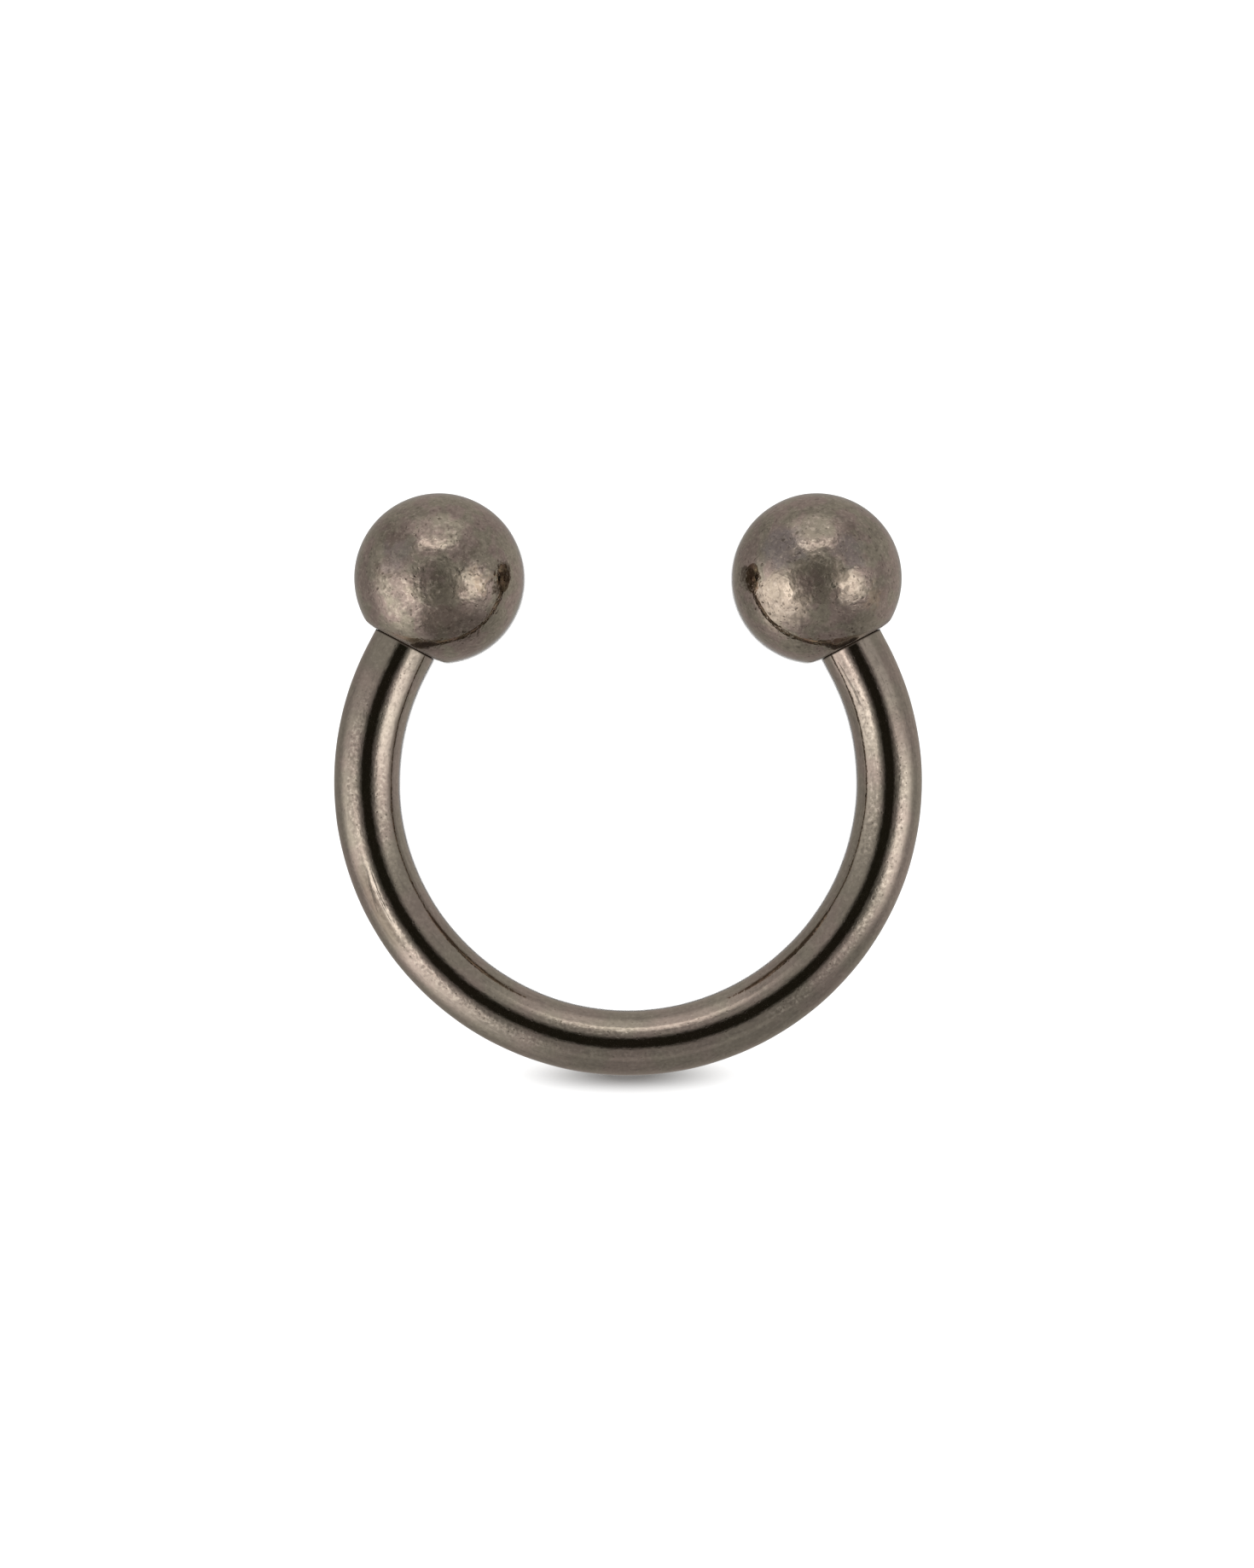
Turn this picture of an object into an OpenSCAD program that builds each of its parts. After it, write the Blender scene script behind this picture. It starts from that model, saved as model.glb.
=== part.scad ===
// Circular barbell for a body piercing: a curved wire bar with a ball screwed on each end.
// It lies on its side as it comes to rest on a flat surface: on both balls and on the bottom
// of the arc, which tips the ring a few degrees. Millimetres, +Z up, opening towards +Y.

/* [Bar] */
// Diameter of the wire
wire_d = 1.14; // [1:0.01:1.2]
// Inside diameter of the arc
inside_d = 8.11; // [7.5:0.01:9]
// Angle above the ring's centre at which the arc runs into its straight end
end_angle = 27.6; // [22:0.1:32]
// Length of the straight end that shows between the arc and the ball
end_straight = 0.309; // [0.2:0.001:0.6]

/* [Posts] */
// Width of the shoulder where the wire steps down to the post
shoulder_w = 0.07; // [0.05:0.01:0.12]
// Length of the post inside the ball
post_l = 1.6; // [1.2:0.1:1.8]
// Width of the bevel round the post's tip
tip_bevel = 0.12; // [0.05:0.01:0.2]

/* [Balls] */
// Diameter of a ball
ball_d = 3; // [2.8:0.1:3.4]
// Diameter at which the flat towards the wire would cut the ball
flat_d = 1.49; // [1.44:0.01:1.6]
// Width of the shallow bevel that crowns the flat
flat_bevel = 0.13; // [0.1:0.01:0.15]
// Angle of that bevel, measured from the flat
flat_bevel_angle = 9; // [7:1:14]

/* [Fits] */
// Gap between the post and the wall of the ball's bore, all round
post_play = 0.04; // [0.02:0.01:0.07]
// Seam between the wire's shoulder and the ball's flat
seam = 0.03; // [0.02:0.01:0.05]
// Depth of the bore past the tip of the post
bore_spare = 0.17; // [0.05:0.01:0.25]
// Width of the countersink round the mouth of the bore
sink_w = 0.03; // [0.02:0.01:0.05]

/* [Hidden] */
$fn = 96;

bar_colour = [0.56, 0.50, 0.44];
ball_colour = [0.50, 0.45, 0.40];

ring_r = (inside_d + wire_d) / 2;
post_r = wire_d / 2 - shoulder_w;
bore_r = post_r + post_play;
bore_l = seam + post_l + bore_spare;
drill_point_angle = 118;
drill_point_l = bore_r / tan(drill_point_angle / 2);
overrun = 0.1;
// The straight end starts a little way inside the arc and is a hair slimmer than it, so that
// its side leaves through the arc's end face and not along the arc's own side
end_root = 0.15;
end_slimmer = 0.005;

// Height of the ball's centre above its flat
ball_rise = sqrt(pow(ball_d / 2, 2) - pow(flat_d / 2, 2));
flat_r = flat_d / 2 - flat_bevel;
bevel_reach = ball_d / tan(flat_bevel_angle);

// How far the balls' centres lie past the ring's centre, in the plane of the ring
end_to_ball = end_straight + seam + ball_rise;
ball_y = ring_r * sin(end_angle) + end_to_ball * cos(end_angle);

// Resting on the bottom of the arc and on both balls
rest_tilt = asin((ball_d - wire_d) / 2 / (ring_r + ball_y));
rest_lift = ring_r * sin(rest_tilt) + wire_d / 2;
// Middle of the barbell along Y once it is tipped, so that the origin lies under its centre
front_y = -ring_r * cos(rest_tilt) - wire_d / 2;
back_y = ball_y * cos(rest_tilt) + ball_d / 2;
middle_y = (front_y + back_y) / 2;

// Tips the ring, which is drawn flat round the Z axis, into its pose at rest
module at_rest() {
    translate([0, -middle_y, rest_lift])
        rotate([rest_tilt, 0, 0])
            children();
}

// Puts a shape on the right end of the arc, with its +Z along the wire and away from the arc
module on_right_end() {
    rotate([0, 0, end_angle])
        translate([ring_r, 0, 0])
            rotate([-90, 0, 0])
                children();
}

module on_left_end() {
    mirror([1, 0, 0])
        on_right_end()
            children();
}

// Plain post with a bevelled tip, standing on the shoulder
module post() {
    cylinder(r = post_r, h = post_l - tip_bevel);
    translate([0, 0, post_l - tip_bevel])
        cylinder(r1 = post_r, r2 = post_r - tip_bevel, h = tip_bevel);
}

module straight_end() {
    translate([0, 0, -end_root])
        cylinder(r = wire_d / 2 - end_slimmer, h = end_root + end_straight);
    translate([0, 0, end_straight])
        post();
}

module arc() {
    rotate([0, 0, 180 - end_angle])
        rotate_extrude(angle = 180 + 2 * end_angle)
            translate([ring_r, 0])
                circle(d = wire_d);
}

module curved_bar() {
    color(bar_colour)
        at_rest()
            union() {
                arc();
                on_right_end() straight_end();
                on_left_end() straight_end();
            }
}

// Blind bore from the flat inwards, with a countersunk mouth and a drilled point
module bore() {
    translate([0, 0, -overrun])
        cylinder(r = bore_r, h = overrun + bore_l);
    translate([0, 0, bore_l])
        cylinder(r1 = bore_r, r2 = 0, h = drill_point_l);
    cylinder(r1 = bore_r + sink_w, r2 = bore_r, h = sink_w);
}

// One ball, standing on its flat at Z = 0. The cone cuts the flat and the bevel round it.
module ball() {
    difference() {
        intersection() {
            translate([0, 0, ball_rise])
                sphere(d = ball_d);
            cylinder(r1 = flat_r, r2 = flat_r + bevel_reach, h = ball_d);
        }
        bore();
    }
}

module seated_ball() {
    translate([0, 0, end_straight + seam])
        ball();
}

module ball_left() {
    color(ball_colour)
        at_rest()
            on_left_end()
                seated_ball();
}

module ball_right() {
    color(ball_colour)
        at_rest()
            on_right_end()
                seated_ball();
}

curved_bar();
ball_left();
ball_right();
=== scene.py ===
"""Circular barbell for a body piercing, lying on its side on a pale floor.

Lengths are in millimetres. The ring is drawn in its own plane, with X to the right, Y towards the gap
between the balls and Z towards the camera, and at_rest() tips it into the pose in which it lies.
"""

import math
from collections import namedtuple

import bpy
import numpy as np
from mathutils import Matrix, Vector, noise


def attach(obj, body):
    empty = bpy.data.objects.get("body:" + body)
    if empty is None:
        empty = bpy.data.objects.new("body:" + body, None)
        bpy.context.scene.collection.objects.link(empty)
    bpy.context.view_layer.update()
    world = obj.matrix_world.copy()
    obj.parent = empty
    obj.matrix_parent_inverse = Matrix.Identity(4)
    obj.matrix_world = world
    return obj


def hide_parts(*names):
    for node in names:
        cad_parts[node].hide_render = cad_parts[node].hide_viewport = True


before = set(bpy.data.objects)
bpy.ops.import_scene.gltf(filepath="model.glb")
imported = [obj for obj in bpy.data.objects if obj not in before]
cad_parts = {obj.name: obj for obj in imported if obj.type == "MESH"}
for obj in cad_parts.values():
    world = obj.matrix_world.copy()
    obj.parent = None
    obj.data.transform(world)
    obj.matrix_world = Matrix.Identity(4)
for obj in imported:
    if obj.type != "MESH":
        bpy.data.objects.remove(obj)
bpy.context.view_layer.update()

MM = 0.001

# The bar
WIRE_R = 0.57
RING_R = 4.625
END_ANGLE = math.radians(27.6)
END_STRAIGHT = 0.309
SEAM = 0.03

# The threaded posts
POST_R = 0.5
POST_L = 1.6
COLLAR_R = 0.53
COLLAR_L = 0.035
THREAD_PITCH = 0.25
THREAD_DEPTH = 0.13
THREAD_RUNOUT = 0.14
TIP_BEVEL = 0.12

# The balls
SIDES = {"left": -1, "right": 1}
BALL_R = 1.5
FLAT_CUT_R = 0.745
FLAT_R = 0.615
FLAT_BEVEL_ANGLE = math.radians(9)
FLAT_EDGE_ROUND = 0.07
BORE_R = 0.54
BORE_L = 1.8
BORE_SINK = 0.03
DRILL_POINT_L = 0.324

BALL_RISE = math.sqrt(BALL_R**2 - FLAT_CUT_R**2)
ARC_L = RING_R * (math.pi + 2 * END_ANGLE)
END_TO_BALL = END_STRAIGHT + SEAM + BALL_RISE
BALL_X = RING_R * math.cos(END_ANGLE) - END_TO_BALL * math.sin(END_ANGLE)
BALL_Y = RING_R * math.sin(END_ANGLE) + END_TO_BALL * math.cos(END_ANGLE)

# The pose at rest
REST_TILT = math.asin((BALL_R - WIRE_R) / (RING_R + BALL_Y))
REST_LIFT = RING_R * math.sin(REST_TILT) + WIRE_R
FRONT_Y = -RING_R * math.cos(REST_TILT) - WIRE_R
BACK_Y = BALL_Y * math.cos(REST_TILT) + BALL_R
MIDDLE_Y = (FRONT_Y + BACK_Y) / 2
AT_REST = Matrix.Translation((0, -MIDDLE_Y, REST_LIFT)) @ Matrix.Rotation(REST_TILT, 4, "X")

# The photograph's frame, where the centre of the ring stands in it, and the lens that sees it so
PHOTO_W, PHOTO_H = 1470, 1838
RING_AT_PX = (736.1, 916.2)
PX_PER_MM = 66.33
LENS = 300
SENSOR = 36
# How far the camera sees
FAR = 100000

# The floor, as half the width of a square
FLOOR_HALF = 3000
FLOOR_COLOUR = (0.82, 0.82, 0.82, 1)
FLOOR_ROUGHNESS = 0.9


def at_rest(points):
    """Points of the flat ring, in millimetres, moved into the pose at rest, in metres."""
    turn = np.array(AT_REST.to_3x3())
    move = np.array(AT_REST.translation)
    return (points @ turn.T + move) * MM


def ball_frame(side):
    """Where a ball's flat lies in the flat ring: its middle, and the axes across, up and along the wire.

    side is -1 for the left ball and 1 for the right one.
    """
    end = np.array((side * math.cos(END_ANGLE) * RING_R, math.sin(END_ANGLE) * RING_R, 0))
    along = np.array((-side * math.sin(END_ANGLE), math.cos(END_ANGLE), 0))
    up = np.array((0.0, 0.0, 1.0))
    across = np.cross(up, along)
    return end + along * (END_STRAIGHT + SEAM), across, up, along


# Meshes


def grid_mesh(name, rows):
    """A closed skin through rings of points, one ring in each row, with both end rings capped."""
    count, around = rows.shape[:2]
    here = np.arange(around)
    there = (here + 1) % around
    faces = []
    for i in range(count - 1):
        low, high = i * around, (i + 1) * around
        quads = np.stack([low + here, low + there, high + there, high + here], axis=1)
        faces.extend(quads.tolist())
    points = rows.reshape(-1, 3)
    first, last = len(points), len(points) + 1
    points = np.vstack([points, rows[0].mean(axis=0), rows[-1].mean(axis=0)])
    top = (count - 1) * around
    faces.extend(np.stack([there, here, np.full(around, first)], axis=1).tolist())
    faces.extend(np.stack([top + here, top + there, np.full(around, last)], axis=1).tolist())

    mesh = bpy.data.meshes.new(name)
    mesh.from_pydata(at_rest(points).tolist(), [], faces)
    mesh.shade_smooth()
    piece = bpy.data.objects.new(name, mesh)
    bpy.context.scene.collection.objects.link(piece)
    return piece


def unevenness(points, waves):
    """How far the hand-finished surface stands proud at each point: the sum of (size, height) noises."""
    height = np.zeros(len(points))
    for size, amplitude in waves:
        height += amplitude * np.array([noise.noise(Vector(point) / size) for point in points])
    return height


# Sizes and heights of the noises, and the most that they may lift the surface
BAR_WAVES = ((0.7, 0.003), (0.22, 0.0009))
BAR_PROUD = 0.0015
BALL_WAVES = ((0.55, 0.003), (0.2, 0.001))
BALL_PROUD = 0.002

# Points round the wire, and distances between its rings of points on the arc and on the posts
BAR_AROUND = 112
BAR_STEP = 0.036
THREAD_STEP = 0.0155

# The shoulder of the visual bar stands a little nearer to the ball than the CAD's, so the seam looks shut
SHOULDER_AHEAD = 0.024
SHOULDER_L = END_STRAIGHT + SHOULDER_AHEAD
SHOULDER_ROUND = 0.014
# Where the shoulder's rounded edge gets its rings of points, in radii of the edge before its end
EDGE_RINGS = (2, 1.5, 1, 0.7, 0.4, 0.2, 0.08, 0.01)
STRAIGHT_RINGS = 8
# Widths of the steep steps from the wire down to the collar and from there down to the post
COLLAR_STEPS = (0.0005, 0.001)
# Where the post's rings of points start, from the end of the CAD's straight wire
POST_START = COLLAR_L + 0.01
# The thread's section: the slope of its flanks over one turn, and how far they sink for a flat root
THREAD_SLOPE = 2.4
THREAD_SUNK = 0.1


def bar_stations():
    """Distances along the bar from the start of the arc at which it gets a ring of points."""
    arc = np.linspace(0, ARC_L, round(ARC_L / BAR_STEP) + 1)
    straight = np.linspace(0, SHOULDER_L - 3 * SHOULDER_ROUND, STRAIGHT_RINGS + 1)[1:]
    edge = SHOULDER_L - SHOULDER_ROUND * np.array(EDGE_RINGS)
    collar = SHOULDER_L + np.array([COLLAR_STEPS[0], COLLAR_L / 2, COLLAR_L, COLLAR_L + COLLAR_STEPS[1]])
    post = np.linspace(POST_START, POST_L, round(POST_L / THREAD_STEP) + 1) + END_STRAIGHT
    end = np.concatenate([straight, edge, collar, post[post > collar[-1]]])
    return np.concatenate([-end[::-1], arc, ARC_L + end])


def bar_radius(past_end, turn):
    """Radius of the bar at angles round the wire.

    past_end is the distance past the arc's end: 0 on the arc, and less than 0 past its left end.
    """
    past_shoulder = abs(past_end) - SHOULDER_L
    if past_shoulder <= 0:
        into_round = max(0.0, past_shoulder + SHOULDER_ROUND)
        drop = SHOULDER_ROUND - np.sqrt(SHOULDER_ROUND**2 - into_round**2)
        return np.full_like(turn, WIRE_R - drop)
    if past_shoulder <= COLLAR_L:
        return np.full_like(turn, COLLAR_R)
    root = POST_R - THREAD_DEPTH
    phase = (past_end / THREAD_PITCH - turn / (2 * math.pi)) % 1
    crest = np.clip(THREAD_SLOPE * np.abs(phase - 0.5) - THREAD_SUNK, 0, 1)
    # Between the collar and the first turn, the post is as slim as the thread's root
    if past_shoulder < THREAD_RUNOUT:
        crest = np.zeros_like(turn)
    to_tip = END_STRAIGHT + POST_L - abs(past_end)
    bevelled = POST_R - max(0.0, TIP_BEVEL - to_tip)
    return np.minimum(root + THREAD_DEPTH * crest, bevelled)


# Swells that leave the wire a little out of round: where each starts and ends along the wire from the
# bottom of the arc, the angle of its crest round the wire and half its width, both in degrees, and its
# height. The angle goes from the top of the wire towards the outside of the ring.
Swell = namedtuple("Swell", "start end crest half_width height")
SWELLS = (
    Swell(-10.0, -6.0, -57, 46, 0.028),
    Swell(4.0, 8.8, 52, 42, 0.026),
)
SWELL_END_SOFT = 1.3


def swollen(stations, turn):
    """How far the wire swells out of round, for each ring of points and each angle round the wire."""
    along = stations - ARC_L / 2
    from_top = np.degrees(np.arctan2(np.cos(turn), -np.sin(turn)))
    height = np.zeros((len(stations), len(turn)))
    for swell in SWELLS:
        inside = np.clip(np.minimum(along - swell.start, swell.end - along) / SWELL_END_SOFT, 0, 1)
        across = np.clip(1 - ((from_top - swell.crest) / swell.half_width) ** 2, 0, 1) ** 2
        height += swell.height * np.outer(inside**2 * (3 - 2 * inside), across)
    return height


def make_bar():
    """The wire with its straight ends and threaded posts, swept as one skin from tip to tip."""
    turn = np.linspace(0, 2 * math.pi, BAR_AROUND, endpoint=False)
    stations = bar_stations()
    rows = []
    for station in stations:
        on_arc = min(max(station, 0.0), ARC_L)
        theta = math.pi - END_ANGLE + on_arc / RING_R
        outward = np.array((math.cos(theta), math.sin(theta), 0))
        tangent = np.array((-math.sin(theta), math.cos(theta), 0))
        centre = outward * RING_R + tangent * (station - on_arc)
        radius = bar_radius(station - on_arc, turn)
        facing = np.outer(np.cos(turn), outward) + np.outer(np.sin(turn), (0, 0, -1))
        rows.append(centre + facing * radius[:, None])
    rows = np.array(rows)
    centres = rows.mean(axis=1, keepdims=True)
    facing = rows - centres
    facing /= np.linalg.norm(facing, axis=2, keepdims=True)
    proud = unevenness(rows.reshape(-1, 3), BAR_WAVES).reshape(rows.shape[:2])
    on_wire = (stations > -SHOULDER_L) & (stations < ARC_L + SHOULDER_L)
    proud = (np.minimum(proud, BAR_PROUD) + swollen(stations, turn)) * on_wire[:, None]
    return grid_mesh("bar", rows + facing * proud[..., None])


# Points round a ball, and rings of points on its sphere, on the rounded edge of its flat and in its bore
BALL_AROUND = 256
SPHERE_ROWS = 168
EDGE_ROWS = 9
BORE_ROWS = 10
# Radius of the smallest ring of points, at the point of the drilled bore
BORE_TIP_R = 0.02
# Width of the narrow steps that keep the edges of the bore and the flat sharp
SHARP = 0.002
# Points this much nearer to the ball's centre than its radius belong to the flat or the bore
OFF_SPHERE = 0.02


def ball_profile():
    """The ball's section as (distance from its axis, height above the flat) pairs.

    It goes from the bottom of the bore out through its mouth and round to the far pole.
    """
    slope = math.tan(FLAT_BEVEL_ANGLE)
    corner_h = (FLAT_CUT_R - FLAT_R) / (1 / slope - BALL_RISE / FLAT_CUT_R)
    corner = np.array((FLAT_R + corner_h / slope, corner_h))
    start = math.atan2(corner[0], BALL_RISE - corner[1])
    after = start + FLAT_EDGE_ROUND / BALL_R
    along_bevel = np.array((math.cos(FLAT_BEVEL_ANGLE), math.sin(FLAT_BEVEL_ANGLE)))
    bevel_end = corner - FLAT_EDGE_ROUND * along_bevel
    sphere_start = np.array((BALL_R * math.sin(after), BALL_RISE - BALL_R * math.cos(after)))
    ease = np.linspace(0, 1, EDGE_ROWS)[:, None]
    rounded = (1 - ease) ** 2 * bevel_end + 2 * ease * (1 - ease) * corner + ease**2 * sphere_start
    polar = np.linspace(after, math.pi, SPHERE_ROWS + 1)[1:-1]
    sphere = np.stack([BALL_R * np.sin(polar), BALL_RISE - BALL_R * np.cos(polar)], axis=1)
    wall = np.stack([np.full(BORE_ROWS, BORE_R), np.linspace(BORE_L, 3 * BORE_SINK, BORE_ROWS)], axis=1)
    tip_h = BORE_L + DRILL_POINT_L * (1 - BORE_TIP_R / BORE_R)
    drilled = [(BORE_TIP_R, tip_h), (BORE_R / 2, BORE_L + DRILL_POINT_L / 2)]
    drilled += [(BORE_R - 5 * SHARP, BORE_L + 3 * SHARP)]
    sink_r = BORE_R + BORE_SINK
    mouth = [(BORE_R, BORE_SINK + 2 * SHARP), (BORE_R + SHARP, BORE_SINK), (sink_r - SHARP, SHARP / 2)]
    face = [(sink_r + SHARP, 0), (FLAT_R - 2 * SHARP, 0), (FLAT_R + 2 * SHARP, SHARP / 2)]
    return np.vstack([drilled, wall, mouth, face, rounded, sphere])


# Shallow dents in the balls: their middles from the ball's centre, to the right and up the picture, their
# radii and their depths. All lie on the side of the ball that faces the camera.
Dent = namedtuple("Dent", "ball right up radius depth")
DENTS = (
    Dent("left", 0.0, 0.84, 0.42, 0.024),
    Dent("right", -0.1, 0.84, 0.42, 0.024),
)


def on_front(right, up):
    """The place on a ball's skin that lies this far from its centre in the picture."""
    return np.array((right, up, math.sqrt(BALL_R**2 - right**2 - up**2)))


def dented(from_centre, side):
    """How deep the dents of one ball are at points given from its centre."""
    depth = np.zeros(from_centre.shape[:2])
    for dent in DENTS:
        away = np.linalg.norm(from_centre - on_front(dent.right, dent.up), axis=2) / dent.radius
        depth += (SIDES[dent.ball] == side) * dent.depth * np.clip(1 - away**2, 0, 1) ** 2
    return depth[..., None]


def make_ball(name, side):
    """A ball turned round its post's axis, with its bore open towards the post."""
    middle, across, up, along = ball_frame(side)
    turn = np.linspace(0, 2 * math.pi, BALL_AROUND, endpoint=False)
    ring = np.outer(np.cos(turn), across) + np.outer(np.sin(turn), up)
    profile = ball_profile()
    rows = middle + profile[:, :1, None] * ring + profile[:, 1:, None] * along
    centre = middle + along * BALL_RISE
    facing = rows - centre
    distance = np.linalg.norm(facing, axis=2, keepdims=True)
    proud = unevenness(rows.reshape(-1, 3), BALL_WAVES).reshape(distance.shape)
    on_sphere = distance > BALL_R - OFF_SPHERE
    proud = np.minimum(proud, BALL_PROUD) - dented(facing, side)
    return grid_mesh(name, rows + facing / distance * proud * on_sphere)


# Materials


class Nodes:
    """Short forms for the nodes of one material or world."""

    def __init__(self, owner):
        owner.use_nodes = True
        self.tree = owner.node_tree
        self.tree.nodes.clear()

    def new(self, kind, settings=(), **inputs):
        """A node of that kind, with its settings and its inputs by name.

        An input is a number, a colour or another node's output.
        """
        node = self.tree.nodes.new(kind)
        for key, value in dict(settings).items():
            setattr(node, key, value)
        for key, value in inputs.items():
            self.put(node.inputs[key.replace("_", " ")], value)
        return node

    def put(self, socket, value):
        if isinstance(value, bpy.types.NodeSocket):
            self.tree.links.new(value, socket)
        else:
            socket.default_value = value

    def math(self, operation, a, b=0.0):
        node = self.tree.nodes.new("ShaderNodeMath")
        node.operation = operation
        self.put(node.inputs[0], a)
        self.put(node.inputs[1], b)
        return node.outputs[0]

    def times(self, first, *others):
        product = first
        for factor in others:
            product = self.math("MULTIPLY", product, factor)
        return product

    def vector(self, operation, a, b=(0, 0, 0)):
        node = self.tree.nodes.new("ShaderNodeVectorMath")
        node.operation = operation
        self.put(node.inputs[0], a)
        if operation == "SCALE":
            self.put(node.inputs["Scale"], b)
        elif len(node.inputs) > 1:
            self.put(node.inputs[1], b)
        return node.outputs["Value" if operation in ("DOT_PRODUCT", "LENGTH") else "Vector"]

    def step(self, value, low, high, to_low=0.0, to_high=1.0):
        """Goes smoothly from to_low to to_high as value goes from low to high."""
        node = self.new(
            "ShaderNodeMapRange",
            {"interpolation_type": "SMOOTHSTEP", "clamp": True},
            Value=value,
            From_Min=low,
            From_Max=high,
            To_Min=to_low,
            To_Max=to_high,
        )
        return node.outputs[0]

    def blend(self, mask, low, high):
        """Goes smoothly from low to high as mask goes from 0 to 1."""
        return self.step(mask, 0.0, 1.0, low, high)

    def noise(self, place, per_mm, detail=2.0, roughness=0.5):
        node = self.new(
            "ShaderNodeTexNoise", Vector=place, Scale=per_mm, Detail=detail, Roughness=roughness
        )
        return node.outputs[0]

    def mix(self, factor, a, b):
        node = self.new("ShaderNodeMix", {"data_type": "RGBA"})
        self.put(node.inputs["Factor"], factor)
        self.put(node.inputs[6], a)
        self.put(node.inputs[7], b)
        return node.outputs[2]


def in_mm(nodes):
    """The piece's own coordinates, in millimetres."""
    place = nodes.new("ShaderNodeTexCoord").outputs["Object"]
    return nodes.vector("SCALE", place, 1 / MM)


def along_wire(nodes, place):
    """Coordinates of the wire as if it were straight.

    They are the distance along it from the bottom of the arc, the distance out from the ring's centre, and
    the height above the ring's plane.
    """
    to_flat = AT_REST.inverted()
    flat = nodes.new(
        "ShaderNodeMapping",
        {"vector_type": "POINT"},
        Vector=place,
        Location=to_flat.translation,
        Rotation=to_flat.to_euler(),
    )
    x, y, z = nodes.new("ShaderNodeSeparateXYZ", Vector=flat.outputs[0]).outputs
    turn = nodes.math("ARCTAN2", x, nodes.times(y, -1.0))
    out = nodes.math("SQRT", nodes.math("ADD", nodes.times(x, x), nodes.times(y, y)))
    straight = nodes.new("ShaderNodeCombineXYZ", X=nodes.times(turn, RING_R), Y=out, Z=z)
    return straight.outputs[0]


# How much of a pit's radius is as deep as its middle. Each pit draws a share from 0 to 1 at random, and the
# pair says up to which share there is no pit and from which share it is a full one.
PIT_CORE = 0.4
PIT_DEPTHS = (0.2, 0.8)


def pits(nodes, place, per_mm, radius):
    """How deep the scattered pits are, from 0 between them to 1 in the middle of the deepest."""
    cells = nodes.new("ShaderNodeTexVoronoi", Vector=place, Scale=per_mm)
    depth = nodes.new("ShaderNodeSeparateColor", Color=cells.outputs["Color"]).outputs[0]
    near = nodes.step(cells.outputs["Distance"], radius * per_mm, PIT_CORE * radius * per_mm)
    return nodes.times(near, nodes.step(depth, *PIT_DEPTHS))


# Painted shade in the seams between the wire and the balls: the distances from the ball's flat, and past the
# side of the wire, at which it ends and is full. The last pair says the same of the duller rim round the
# wire, whose darker matt coat is painted shade too.
SEAM_SHADE_OFF_FLAT = (0.05, 0.018)
SEAM_SHADE_PAST_WIRE = (0.06, 0.03)
RIM_PAST_WIRE = (0.38, 0.2)


def from_joint(nodes, place):
    """How far each place is from the flat of the nearer ball, and from the middle of that flat."""
    middle, _, _, along = ball_frame(SIDES["right"])
    along = AT_REST.to_3x3() @ Vector(along)
    middle = AT_REST @ Vector(middle)
    x, y, z = nodes.new("ShaderNodeSeparateXYZ", Vector=place).outputs
    right = nodes.new("ShaderNodeCombineXYZ", X=nodes.math("ABSOLUTE", x), Y=y, Z=z).outputs[0]
    from_middle = nodes.vector("SUBTRACT", right, middle)
    off_flat = nodes.math("ABSOLUTE", nodes.vector("DOT_PRODUCT", from_middle, along))
    return off_flat, nodes.vector("LENGTH", from_middle)


def past_wire(nodes, away, faded, full):
    """Goes from 0 to 1 between two distances past the side of the wire."""
    return nodes.step(away, WIRE_R + faded, WIRE_R + full)


def seam_shade_mask(nodes, off_flat, away):
    """How strongly each place lies in the painted shade of a seam."""
    return nodes.times(nodes.step(off_flat, *SEAM_SHADE_OFF_FLAT), past_wire(nodes, away, *SEAM_SHADE_PAST_WIRE))


# The metal's tint where it is seen edge on, and the matt coats over it, which are painted shade: in the
# seams and the corners, on the wire's side that faces the inside of the ring, and on the rim of the balls
# round the wire
EDGE_TINT = (0.94, 0.89, 0.84, 1)
SEAM_SHADE_COLOUR = (0.014, 0.009, 0.006, 1)
INNER_SHADE_COLOUR = (0.115, 0.094, 0.076, 1)
RIM_SHADE_COLOUR = (0.22, 0.19, 0.165, 1)
SEAM_SHADE_COVERS = 0.9
MATT_ROUGHNESS = 0.6
MATT_SHINE = 0.05


def finish_metal(nodes, colour, relief, polish, haze, grain, grained_share, shade_coat, shade_coat_colour):
    """The metal's shader: facets of high polish, a share of hazy and grained ones, and a matt coat of
    painted shade over both.

    relief is the height of both kinds of facet and grain what the hazy ones have on top of it, in
    millimetres. polish and haze are the roughnesses of the two kinds.
    """
    bump = nodes.new("ShaderNodeBump", Strength=1.0, Distance=MM, Height=relief)
    grained = nodes.new("ShaderNodeBump", Strength=1.0, Distance=MM, Height=grain, Normal=bump.outputs[0])
    facets = nodes.new("ShaderNodeMixShader", Fac=grained_share)
    for place, (roughness, normal) in ((1, (polish, bump)), (2, (haze, grained))):
        shader = nodes.new(
            "ShaderNodeBsdfPrincipled",
            Base_Color=colour,
            Metallic=1.0,
            Roughness=roughness,
            Specular_Tint=EDGE_TINT,
            Normal=normal.outputs[0],
        )
        nodes.put(facets.inputs[place], shader.outputs[0])
    matt = nodes.new(
        "ShaderNodeBsdfPrincipled",
        Base_Color=shade_coat_colour,
        Roughness=MATT_ROUGHNESS,
        Specular_IOR_Level=MATT_SHINE,
        Normal=bump.outputs[0],
    )
    mixed = nodes.new("ShaderNodeMixShader", Fac=shade_coat)
    nodes.put(mixed.inputs[1], facets.outputs[0])
    nodes.put(mixed.inputs[2], matt.outputs[0])
    nodes.new("ShaderNodeOutputMaterial", Surface=mixed.outputs[0])


def layered(nodes, colour, colours, covers):
    """A colour with named layers over it: colours gives each its colour, and covers how much it covers."""
    for layer, cover in covers.items():
        colour = nodes.mix(cover, colour, (*colours[layer], 1))
    return colour


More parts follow.
